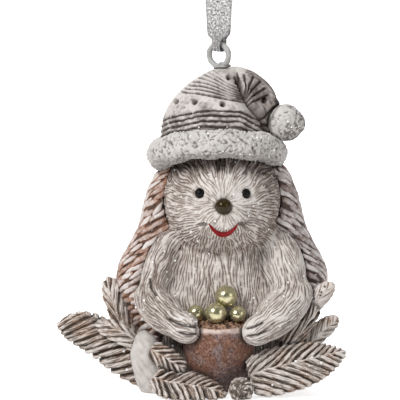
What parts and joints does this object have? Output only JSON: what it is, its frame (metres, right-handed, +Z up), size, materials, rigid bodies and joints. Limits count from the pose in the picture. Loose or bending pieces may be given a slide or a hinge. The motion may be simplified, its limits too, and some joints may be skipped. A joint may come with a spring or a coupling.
{
  "type": "hedgehog figurine",
  "caption": "Hanging hedgehog ornament in a knitted hat, sitting with a pot of berries between fir sprigs, on a ribbon loop.",
  "frame": {"origin": "on the flat base, under the middle of the torso", "axes": "+Z up, the face looks along -Y, +X to the viewer's right"},
  "size_m": [0.0652, 0.0451, 0.0967],
  "materials": {
    "fur": "whitewashed resin with darker grooves",
    "quills": "whitewashed resin with brown grooves",
    "hat": "whitewashed resin with glitter",
    "trim": "white resin with glitter",
    "eye": "gloss black",
    "nose": "gloss dark bronze",
    "mouth": "painted red",
    "wire": "painted white",
    "pot": "matte terracotta paint, speckled",
    "soil": "grainy brown",
    "berry": "pearly gold-green",
    "sprig": "whitewashed resin with brown grooves",
    "ribbon": "silver woven ribbon"
  },
  "bodies": {
    "figure": {"torso": "fur", "head": "fur", "eye_left": "eye", "eye_right": "eye", "nose": "nose", "mouth": "mouth", "arm_left": "fur", "arm_right": "fur", "leg_left": "fur", "quill_coat": "quills", "hat_crown": "hat", "hat_tail": "hat", "hat_brim": "trim", "hat_pompom": "trim", "hanging_ring": "wire", "ring_collar": "trim", "pot": "pot", "pot_soil": "soil", "berry_front": "berry", "berry_left": "berry", "berry_right": "berry", "berry_back": "berry", "berry_top": "berry", "sprig_left_large": "sprig", "sprig_left_small": "sprig", "sprig_left_upright": "sprig", "sprig_front_bud": "sprig", "sprig_front_long": "sprig", "sprig_front_ball": "sprig", "sprig_right_large": "sprig", "sprig_right_top": "sprig", "sprig_right_middle": "sprig", "sprig_right_back": "sprig"},
    "ribbon": {"ribbon": "ribbon", "ribbon_knot": "ribbon"}
  },
  "joints": [
    {"name": "ribbon_swing", "type": "hinge", "parent": "figure", "child": "ribbon", "pos_m": [-0.0007, 0.00163, 0.07712], "axis": [0.8387, -0.5446, 0], "range_deg": [-100, 100]}
  ]
}
